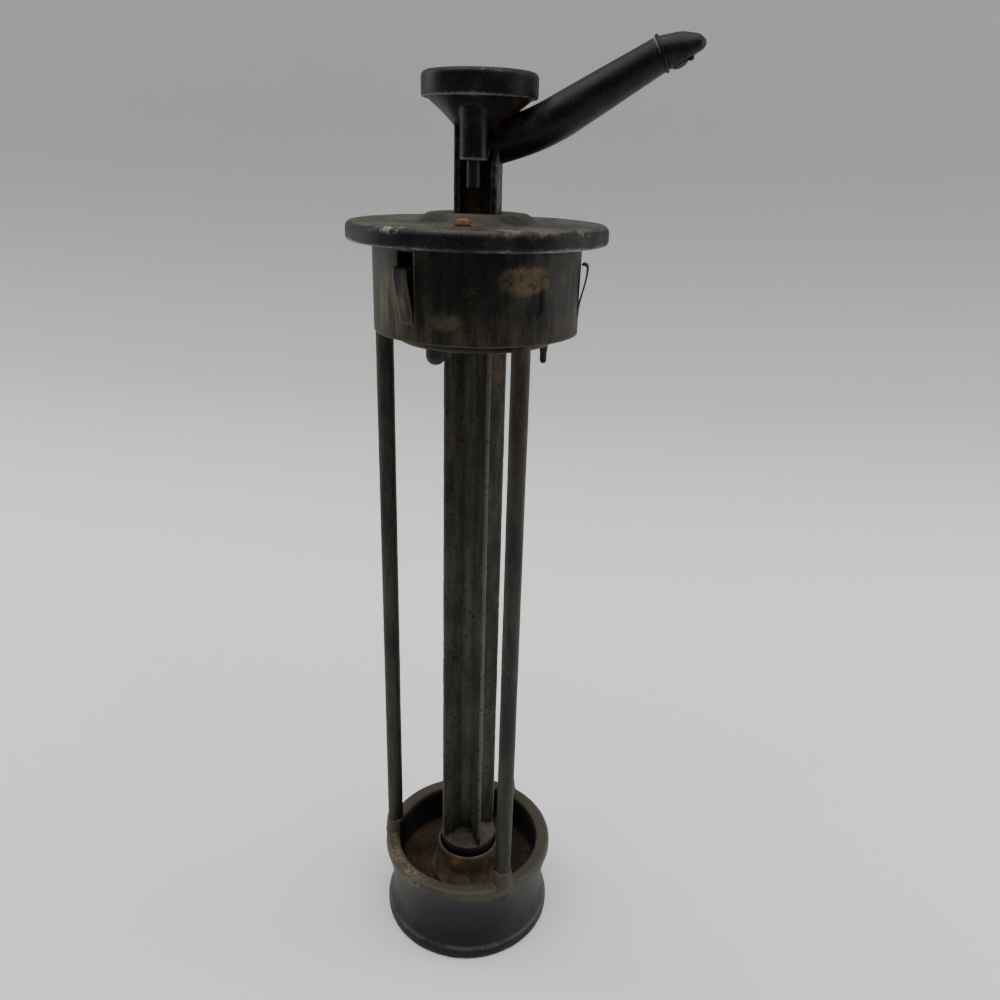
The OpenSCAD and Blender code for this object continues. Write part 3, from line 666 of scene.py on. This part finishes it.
# %% [markdown]
# The cylinder is bare iron inside the cup and the most rusted piece of all: brown scale with one bright
# orange spot at its front, and a dull worn top where the piston drips. Its bore is painted dark as shade.

# %% Scale on the cylinder
SPOT_AT = (-0.0045, -0.0155, 0.0315)
BORE_R = 0.0123


def cylinder_scale():
    finish = Finish("cylinder_scale")
    cloud = finish.noise(0.007, detail=6.0, rough=0.65)
    fine = finish.noise(0.0009, detail=5.0, rough=0.75, shift=3.0)
    finish.start(finish.ramp(cloud + (fine - 0.5) * 0.5, 0.35, 0.7), tone(66, 58, 46), tone(108, 92, 70))
    spot = finish.near(SPOT_AT, 0.005, 0.6) * finish.ramp(cloud + fine, 0.75, 1.05)
    finish.layer(spot * 0.9, tone(176, 110, 48))
    high = finish.ramp(finish.axis("Z"), 0.03, 0.0335)
    finish.layer(high * 0.5, tone(84, 78, 68))
    # painted shade: the bore inside its radius is made dark
    bore_shade = 1 - finish.ramp(finish.from_axis(), BORE_R - 0.0004, BORE_R)
    finish.layer(bore_shade * 0.9, tone(22, 20, 18))
    return finish.done(fine * 0.3 + 0.6, 0.0, fine * 0.5 + cloud * 0.6, 0.00025, 0.2)


# %% [markdown]
# The small pieces need little: a metal, a stain and some grain. One function makes them all, with a
# colour for the metal, a colour for its dirt, and how far the dirt has spread.

# %% Finishes of the small pieces
def small_metal(name, metal, dirt, spread, gloss, metallic=0.7, size=0.0025):
    finish = Finish(name)
    cloud = finish.noise(size, detail=5.0, rough=0.65)
    fine = finish.noise(size * 0.25, detail=4.0, rough=0.7, shift=3.0)
    dirty = finish.ramp(cloud + (fine - 0.5) * 0.5, 0.85 - spread, 1.05 - spread)
    finish.start(dirty, metal, dirt)
    finish.layer(finish.ramp(finish.attribute("edge"), 0.7, 1.6) * 0.5, BARE)
    return finish.done(dirty * 0.25 + fine * 0.1 + gloss, (1 - dirty) * metallic,
                       fine * 0.6 + dirty * 0.6, 0.00008, 0.3)


FINISHES = {
    "head_paint": head_enamel(),
    "cover_paint": cover_enamel(),
    "collar_sheet": collar_sheet(),
    "rod_steel": bar_skin(),
    "column_metal": etched_metal("column_metal", tone(72, 71, 63), tone(30, 30, 26), 0.45),
    "piston_metal": etched_metal("piston_metal", tone(84, 78, 68), tone(52, 48, 42), 0.3),
    "cup_paint": cup_coat(),
    "cylinder_metal": cylinder_scale(),
    "plate_plastic": small_metal("plate_rubber", tone(20, 20, 22), tone(44, 42, 38), 0.35, 0.42, 0.0, 0.006),
    "ring_steel": small_metal("ring_steel", tone(92, 92, 90), tone(60, 50, 42), 0.45, 0.35),
    "screw_steel": small_metal("screw_steel", tone(150, 150, 146), tone(88, 76, 62), 0.4, 0.3),
    "screw_rusty": small_metal("screw_rust", tone(122, 84, 46), tone(70, 46, 30), 0.4, 0.6, 0.1, 0.0012),
    "screw_black": small_metal("screw_black", tone(26, 26, 28), tone(58, 52, 44), 0.3, 0.4, 0.3, 0.001),
    "bush_brass": small_metal("bush_brass", tone(168, 138, 82), tone(88, 72, 48), 0.4, 0.32, 0.9),
    "spring_steel": small_metal("spring_steel", tone(140, 140, 138), tone(86, 74, 60), 0.35, 0.3, 0.9),
    "outlet_metal": small_metal("outlet_metal", tone(74, 73, 68), tone(34, 33, 30), 0.5, 0.45, 0.2, 0.0012),
    "washer_leather": small_metal("washer_leather", tone(14, 12, 11), tone(26, 22, 18), 0.5, 0.6, 0.0, 0.002),
    "ball_steel": small_metal("ball_steel", tone(170, 170, 168), tone(120, 116, 108), 0.25, 0.18, 1.0),
}
for part in frame["record"]["subparts"]:
    shown = nodes[part["node"]].data.materials
    shown.clear()
    shown.append(FINISHES[part["material_slot"]])

# %% [markdown]
# The castings keep the frame's size and lose its machine-sharp look. Each is a joined copy of its node,
# wrapped in an even skin by a voxel Remesh, rounded a little by Smooth, and then weathered. Modelling
# each again by hand would risk its fit, and a bevel alone would leave the faces perfectly flat.

# %% The castings
def cast(node, name, body, slot, voxel, rounding, **weather):
    piece = add_object(name, merged_copy(node))
    skin = piece.modifiers.new("skin", "REMESH")
    skin.mode = "VOXEL"
    skin.voxel_size = voxel * MM
    soft = piece.modifiers.new("rounding", "SMOOTH")
    soft.factor = 0.5
    soft.iterations = rounding
    apply_tree(piece, WEATHERING, FINISHES[slot], **weather)
    settle(keep_result(piece), body, slot, node)
    return piece


cast("foot_cup", "cast_cup", "cage", "cup_paint", 0.7, 4, dent_size=0.03, dent_depth=0.0005,
     grain_size=0.004, grain_depth=0.00018, edge_reach=8, edge_height=0.00025)
cast("pump_cylinder", "iron_cylinder", "cage", "cylinder_metal", 0.6, 4, dent_size=0.012, dent_depth=0.0003,
     grain_size=0.0025, grain_depth=0.0002, edge_reach=8, edge_height=0.00025)
cast("flange_cover", "pressed_flange", "cage", "cover_paint", 0.5, 4, dent_size=0.025, dent_depth=0.0004,
     grain_size=0.004, grain_depth=0.00006, edge_reach=10, edge_height=0.00022)
head = cast("pump_head", "cast_head", "plunger", "head_paint", 0.42, 5, dent_size=0.015, dent_depth=0.0002,
            grain_size=0.003, grain_depth=0.00006, edge_reach=10, edge_height=0.0002)
cast("button_cap", "worn_button", "plunger", "head_paint", 0.42, 6, dent_size=0.015, dent_depth=0.0002,
     grain_size=0.003, grain_depth=0.00005, edge_reach=10, edge_height=0.0002)
cast("spout_tip", "worn_beak", "plunger", "head_paint", 0.26, 26, dent_size=0.008, dent_depth=0.00015,
     grain_size=0.002, grain_depth=0.00004, edge_reach=10, edge_height=0.00018)
cast("column", "etched_column", "plunger", "column_metal", 0.62, 3, dent_size=0.02, dent_depth=0.0002,
     grain_size=0.0025, grain_depth=0.00015, pit_size=0.0035, pit_depth=0.00015, edge_reach=6,
     edge_height=0.0002)
for side in ("left", "front", "rear"):
    cast("rod_" + side, side + "_bar", "cage", "rod_steel", 0.36, 3, dent_size=0.02, dent_depth=0.00015,
         grain_size=0.0016, grain_depth=0.00012, edge_reach=6, edge_height=0.0002)

# %% [markdown]
# The spout is one pipe: a little straight, a wide bend, then a long straight that narrows to the beak.
# Its centre line is a rule and its radius is another, so it is swept as rings of points. It starts deep
# in the post, where the real pipe was cast in, so no seam shows at its root.

# %% The spout
def steps(low, high, count):
    return [low + (high - low) * i / count for i in range(count)]


def grid_faces(rows, columns, closed, skip=lambda row, column: False):
    last = columns if closed else columns - 1
    return [(r * columns + c, r * columns + (c + 1) % columns, (r + 1) * columns + (c + 1) % columns,
             (r + 1) * columns + c) for r in range(rows - 1) for c in range(last) if not skip(r, c)]


ROOT = Vector((9.5, 0, 321.22)) * MM
ROOT_SLOPE = math.radians(16.3)
END_SLOPE = math.radians(31)
BEND = 75 * MM
STRAIGHT = 34 * MM
SPOUT_R = (6.7 * MM, 5.2 * MM)
SPOUT_WALL = 1.2 * MM
START_INSIDE = 7 * MM
ROOT_STEPS, BEND_STEPS, STRAIGHT_STEPS = 12, 36, 68
SPOUT_SIDES = 96


def heading(slope):
    return Vector((math.cos(slope), 0, math.sin(slope)))


def on_bend(slope):
    """The point of the bend where the centre line has this slope."""
    return ROOT + Vector((math.sin(slope) - math.sin(ROOT_SLOPE), 0,
                          math.cos(ROOT_SLOPE) - math.cos(slope))) * BEND


def spout_path():
    """Centre, slope and outer radius of each ring, about half a millimetre apart."""
    path = [(ROOT - heading(ROOT_SLOPE) * back, ROOT_SLOPE, SPOUT_R[0])
            for back in steps(START_INSIDE, 0, ROOT_STEPS)]
    path += [(on_bend(slope), slope, SPOUT_R[0]) for slope in steps(ROOT_SLOPE, END_SLOPE, BEND_STEPS)]
    for t in steps(0, 1, STRAIGHT_STEPS) + [1]:
        centre = on_bend(END_SLOPE) + heading(END_SLOPE) * STRAIGHT * t
        path.append((centre, END_SLOPE, SPOUT_R[0] + (SPOUT_R[1] - SPOUT_R[0]) * t))
    return path


def spout_mesh():
    sides = SPOUT_SIDES
    rings = spout_path()
    rings += [(centre, slope, radius - SPOUT_WALL) for centre, slope, radius in reversed(rings)]
    verts = []
    for centre, slope, radius in rings:
        up = Vector((-math.sin(slope), 0, math.cos(slope)))
        for side in range(sides):
            turn = math.tau * side / sides
            out = up * math.cos(turn) + Vector((0, -1, 0)) * math.sin(turn)
            verts.append(centre + out * radius)
    faces = grid_faces(len(rings), sides, True)
    last = (len(rings) - 1) * sides
    faces += [(last + s, last + (s + 1) % sides, (s + 1) % sides, s) for s in range(sides)]
    mesh = bpy.data.meshes.new("spout")
    mesh.from_pydata(verts, [], faces)
    return mesh


spout = add_object("worn_spout", spout_mesh())
apply_tree(spout, WEATHERING, FINISHES["head_paint"], dent_size=0.02, dent_depth=0.0002, grain_size=0.003,
           grain_depth=0.00004, edge_reach=8, edge_height=0.0002)
settle(keep_result(spout), "plunger", "head_paint", "spout_tube")

# %% [markdown]
# The collar is pressed from one strip of sheet: a wall with three windows, a tongue lanced out of each
# window, and a shallow panel stamped beside the front one. Sheet is best drawn as a surface and then
# given its thickness, so the wall is a grid of points whose radius comes from a short rule, and Solidify
# adds the metal.

# %% The collar
SHEET = 0.8 * MM
COLLAR_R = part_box("collar_ring")[1][0] + SHEET
COLLAR_H = COLLAR_HIGH - COLLAR_LOW
TONGUES = (0, 120, 240)
TONGUE_HALF = 3 * MM
TONGUE_T = 0.6 * MM
BULGE = 2.6 * MM
HOOK_R = 1.5 * MM
TONGUE_IN = 0.1 * MM
WINDOW = (COLLAR_H * 0.2, COLLAR_H - 1.4 * MM)
PANEL = {"angle": -56.5, "rise": 16.5 * MM, "half": (7.8 * MM, 7.6 * MM), "corner": 3 * MM,
         "depth": 0.45 * MM}
BLOW = {"angle": -97, "rise": 7.5 * MM, "reach": 4.5 * MM, "depth": 0.5 * MM}
WAVE = 0.12 * MM
WINDOW_COLUMNS, WALL_COLUMNS = 8, 104
LOW_ROWS, WINDOW_ROWS, TOP_ROWS = 10, 38, 3


def soft_step(value, low, high):
    t = min(max((value - low) / (high - low), 0), 1)
    return t * t * (3 - 2 * t)


def wall_radius(angle, rise):
    """Radius of the wall: true, less the stamped panel, a blow near the front, and a slow waviness."""
    across = math.radians(angle - PANEL["angle"]) * COLLAR_R
    reach = [max(abs(d) - h + PANEL["corner"], 0)
             for d, h in zip((across, rise - PANEL["rise"]), PANEL["half"])]
    inside = PANEL["corner"] - math.hypot(*reach)
    pressed = soft_step(inside, 0, 1.4 * MM) * PANEL["depth"]
    gap = math.hypot(math.radians(angle - BLOW["angle"]) * COLLAR_R, rise - BLOW["rise"])
    blow = BLOW["depth"] * (1 - soft_step(gap, 0, BLOW["reach"]))
    turn = math.radians(angle)
    wave = noise.noise(Vector((math.cos(turn) * 2.2, math.sin(turn) * 2.2, rise * 60)))
    return COLLAR_R - pressed - blow - WAVE * (1 + wave)


def collar_wall():
    half = math.degrees(math.asin((TONGUE_HALF + 0.4 * MM) / COLLAR_R))
    angles = []
    for middle in TONGUES:
        angles += steps(middle - half, middle + half, WINDOW_COLUMNS)
        angles += steps(middle + half, middle + 120 - half, WALL_COLUMNS)
    rises = steps(0, WINDOW[0], LOW_ROWS) + steps(WINDOW[0], WINDOW[1], WINDOW_ROWS)
    rises += steps(WINDOW[1], COLLAR_H, TOP_ROWS) + [COLLAR_H]
    verts = []
    for rise in rises:
        for angle in angles:
            radius = wall_radius((angle + 180) % 360 - 180, rise)
            verts.append(on_circle(radius, angle, COLLAR_LOW + rise))

    def in_window(row, column):
        in_row = LOW_ROWS <= row < LOW_ROWS + WINDOW_ROWS
        return in_row and column % (WINDOW_COLUMNS + WALL_COLUMNS) < WINDOW_COLUMNS

    return verts, grid_faces(len(rises), len(angles), True, in_window)


def tongue(middle):
    """One tongue: it leaves the wall, bows outward and curls back in at its free end."""
    length = COLLAR_H * 0.6 - HOOK_R
    line = [(COLLAR_R + BULGE * (1 - math.cos(math.pi * t)) / 2, t * length) for t in steps(0, 1, 24)]
    for angle in steps(0, 130, 14):
        turn = math.radians(angle)
        line.append((COLLAR_R + BULGE - HOOK_R * (1 - math.cos(turn)), length + HOOK_R * math.sin(turn)))
    turn = Matrix.Rotation(math.radians(middle), 3, "Z")
    across = steps(-TONGUE_HALF, TONGUE_HALF, 8) + [TONGUE_HALF]
    verts = [turn @ Vector((x - TONGUE_IN, y, COLLAR_LOW + WINDOW[0] + z)) for x, z in line for y in across]
    return verts, grid_faces(len(line), len(across), False)


def joined(*parts):
    verts, faces = [], []
    for more_verts, more_faces in parts:
        faces += [tuple(i + len(verts) for i in face) for face in more_faces]
        verts += more_verts
    mesh = bpy.data.meshes.new("joined")
    mesh.from_pydata(verts, [], faces)
    return mesh


collar = add_object("pressed_collar", joined(collar_wall(), *[tongue(angle) for angle in TONGUES]))
thick = collar.modifiers.new("sheet", "SOLIDIFY")
thick.thickness = TONGUE_T
thick.offset = -1
apply_tree(collar, WEATHERING, FINISHES["collar_sheet"], edge_reach=3, edge_height=0.0001)
settle(keep_result(collar), "cage", "collar_sheet", "collar")

# %% [markdown]
# The return spring is wound wire with its end turns laid close. A helix is a rule, so Geometry Nodes
# winds it: each point of a line is turned round the axis, its height comes from how many turns are
# behind it, and a small circle is drawn along the curve.

# %% The return spring
WIRE = 1.4 * MM
TURNS = 5.5
SPRING_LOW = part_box("return_spring")[0][2] + WIRE / 2
SPRING_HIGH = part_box("return_spring")[1][2] - WIRE / 2
joints = {joint["name"]: joint for joint in frame["record"]["behaviour"]["joints"]}
TRAVEL = joints["plunger_slide"]["range_m"][1]


def winding():
    tree = Shape("winding", coil_radius=0.01, wire_radius=0.0007, turns=5.0, low=0.0, high=0.02)
    line = tree.node("GeometryNodeCurvePrimitiveLine")
    line = tree.node("GeometryNodeResampleCurve", None, {"Curve": line, "Count": 260})
    turn = tree.node("GeometryNodeSplineParameter", output="Factor") * tree.input("turns")
    wire = tree.input("wire_radius") * 2
    free = tree.input("high") - tree.input("low") - wire * 2
    middle = (turn - 1).at_least(0).at_most(tree.input("turns") - 2) / (tree.input("turns") - 2)
    height = tree.input("low") + wire * turn.at_most(1) + free * middle
    height = height + wire * (turn - tree.input("turns") + 1).at_least(0)
    angle = turn * math.tau
    spot = tree.node("ShaderNodeCombineXYZ", None, {
        "X": math_op("COSINE", angle) * tree.input("coil_radius"),
        "Y": math_op("SINE", angle) * tree.input("coil_radius"), "Z": height})
    line = tree.node("GeometryNodeSetPosition", None, {"Geometry": line, "Position": spot})
    ring = tree.node("GeometryNodeCurvePrimitiveCircle", {"mode": "RADIUS"},
                     {"Resolution": 14, "Radius": tree.input("wire_radius")})
    wound = tree.node("GeometryNodeCurveToMesh", None,
                      {"Curve": line, "Profile Curve": ring, "Fill Caps": True})
    tree.end(wound)
    return tree


spring = add_object("wound_spring", bpy.data.meshes.new("wire"))
coil_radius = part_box("return_spring")[1][0] - WIRE / 2
apply_tree(spring, winding(), FINISHES["spring_steel"], coil_radius=coil_radius, wire_radius=WIRE / 2,
           turns=TURNS, low=SPRING_LOW, high=SPRING_HIGH)
keep_result(spring)
free_length = SPRING_HIGH - SPRING_LOW + WIRE
1 - TRAVEL / free_length
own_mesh(spring)
settle(spring, "cage", "spring_steel", "return_spring")

# %% [markdown]
# Two round-head screws hold the cover. One head is turned as rings of points, with its slot pressed
# down, and Geometry Nodes sets a copy at each end of a line across the flange, each turned its own way,
# as screws are.

# %% The cover screws
SCREW_LOW, SCREW_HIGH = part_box("cover_screws")
HEAD_R = 2.5 * MM
HEAD_H = 2.4 * MM
HEAD_EDGE = 0.7 * MM     # height of the straight edge under the dome
SCREW_SIDES = 48
SHANK_R = 1.5 * MM
SLOT = (0.4 * MM, 0.9 * MM)
SCREW_TURN = -92


def screw_mesh():
    """A slotted screw whose head stands on z = 0, with its shank below."""
    rows = [(SHANK_R, SCREW_LOW[2] - SCREW_HIGH[2] + HEAD_H), (SHANK_R, -0.1 * MM), (HEAD_R, 0),
            (HEAD_R, HEAD_EDGE)]
    rows += [(HEAD_R * math.cos(a), HEAD_EDGE + (HEAD_H - HEAD_EDGE) * math.sin(a))
             for a in steps(0.12, math.pi / 2, 14)]
    sides = SCREW_SIDES
    verts = []
    for radius, height in rows:
        for side in range(sides):
            turn = math.tau * side / sides
            x, y = radius * math.cos(turn), radius * math.sin(turn)
            deep = height - SLOT[1] * (1 - soft_step(abs(x), SLOT[0] * 0.8, SLOT[0] * 1.3))
            verts.append((x, y, deep if height > HEAD_EDGE else height))
    faces = grid_faces(len(rows), sides, True)
    faces.append(tuple(reversed(range(sides))))
    faces.append(tuple(range((len(rows) - 1) * sides, len(rows) * sides)))
    mesh = bpy.data.meshes.new("screw")
    mesh.from_pydata(verts, [], faces)
    return mesh


def screw_line():
    tree = Shape("screw_line", start=(0.0, 0.0, 0.0), apart=(0.0, 0.0, 0.0), turn=1.0)
    line = tree.node("GeometryNodeMeshLine", None,
                     {"Count": 2, "Start Location": tree.input("start"), "Offset": tree.input("apart")})
    turned = tree.node("ShaderNodeCombineXYZ", None,
                       {"Z": tree.node("GeometryNodeInputIndex") * tree.input("turn") + tree.input("turn")})
    placed = tree.node("GeometryNodeInstanceOnPoints", None,
                       {"Points": line, "Instance": tree.input("Geometry"), "Rotation": turned})
    tree.end(placed)
    return tree


screw_circle = (SCREW_HIGH[1] - SCREW_LOW[1]) / 2 - HEAD_R
first_screw = on_circle(screw_circle, SCREW_TURN, SCREW_HIGH[2] - HEAD_H)
second_screw = on_circle(screw_circle, SCREW_TURN + 180, SCREW_HIGH[2] - HEAD_H)
screws = add_object("rusty_screws", screw_mesh())
apply_tree(screws, screw_line(), FINISHES["screw_rusty"], start=tuple(first_screw),
           apart=tuple(second_screw - first_screw), turn=0.9)
keep_result(screws)
apply_tree(screws, WEATHERING, FINISHES["screw_rusty"], grain_size=0.0012, grain_depth=0.00025,
           dent_size=0.003, dent_depth=0.0003, edge_reach=3, edge_height=0.0001)
settle(keep_result(screws), "cage", "screw_rusty", "cover_screws")

# %% [markdown]
# Dried soap and rust scale are real lumps, not only colour. Geometry Nodes scatters small crumbs on a
# host mesh, close together round a few centres and broken up by noise, then gives each its own size and
# turn.

# %% Crumbs of soap and scale
CRUMB_SHAPE = (1.0, 0.75, 0.55)


def crumbs():
    tree = Shape("crumbs", centre=(0.0, 0.0, 0.0), reach=0.01, density=5e6, small=0.0001,
                 large=0.0003, seed=1)
    place = tree.node("GeometryNodeInputPosition")
    gap = vector_op(tree, "DISTANCE", place, tree.input("centre"), output="Value") / tree.input("reach")
    cloud = tree.node("ShaderNodeTexNoise", None, {"Vector": place, "Scale": 450.0, "Detail": 3.0})
    crowd = (1 - tree.ramp(gap, 0.3, 1.0)) * tree.ramp(cloud, 0.42, 0.62)
    dots = tree.node("GeometryNodeDistributePointsOnFaces", None, {
        "Mesh": tree.input("Geometry"), "Density": tree.input("density") * crowd, "Seed": tree.input("seed")})
    size = tree.node("FunctionNodeRandomValue", {"data_type": "FLOAT"},
                     {"Min": tree.input("small"), "Max": tree.input("large"), "Seed": tree.input("seed")})
    spin = tree.node("FunctionNodeRandomValue", {"data_type": "FLOAT_VECTOR"},
                     {"Max": (3.0, 3.0, 3.0), "Seed": tree.input("seed")})
    crumb = tree.node("GeometryNodeMeshIcoSphere", None, {"Radius": 1.0, "Subdivisions": 1})
    even = tree.node("ShaderNodeCombineXYZ", None, {"X": size, "Y": size, "Z": size})
    flat = vector_op(tree, "MULTIPLY", even, CRUMB_SHAPE)
    placed = tree.node("GeometryNodeInstanceOnPoints", None,
                       {"Points": dots, "Instance": crumb, "Scale": flat, "Rotation": spin})
    tree.end(placed)
    return tree


CRUMBS = crumbs()
CAP_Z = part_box("button_cap")[0][2]
FLANGE_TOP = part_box("flange_cover")[1][2]
soap = small_metal("dried_soap", tone(74, 62, 48), tone(46, 36, 27), 0.45, 0.7, 0.0, 0.001)
scale = small_metal("rust_scale", tone(84, 60, 40), tone(48, 36, 27), 0.5, 0.75, 0.0, 0.001)
flange = bpy.data.objects["pressed_flange"]
# name, host mesh, body, slot, finish, centre, reach, crumbs per square metre, largest crumb, seed
PATCHES = (
    ("root_soap", head, "plunger", "head_paint", soap,
     (0.011, -0.006, CAP_Z - 3.5 * MM), 0.009, 7e6, 0.00026, 3),
    ("seam_soap", head, "plunger", "head_paint", soap,
     (0.015, -0.009, CAP_Z - 0.5 * MM), 0.009, 7e6, 0.00024, 5),
    ("channel_scale", head, "plunger", "head_paint", scale,
     (0.002, -0.004, CAP_Z - 29 * MM), 0.012, 3e6, 0.0002, 7),
    ("boss_scale", flange, "cage", "cover_paint", scale,
     (-0.002, -0.019, FLANGE_TOP), 0.013, 1.2e6, 0.00018, 9),
)
for name, host, body, slot, finish, centre, reach, density, large, seed in PATCHES:
    patch = add_object(name, host.data.copy())
    apply_tree(patch, CRUMBS, finish, centre=centre, reach=reach, density=density, small=large * 0.35,
               large=large, seed=seed)
    settle(keep_result(patch), body, slot)
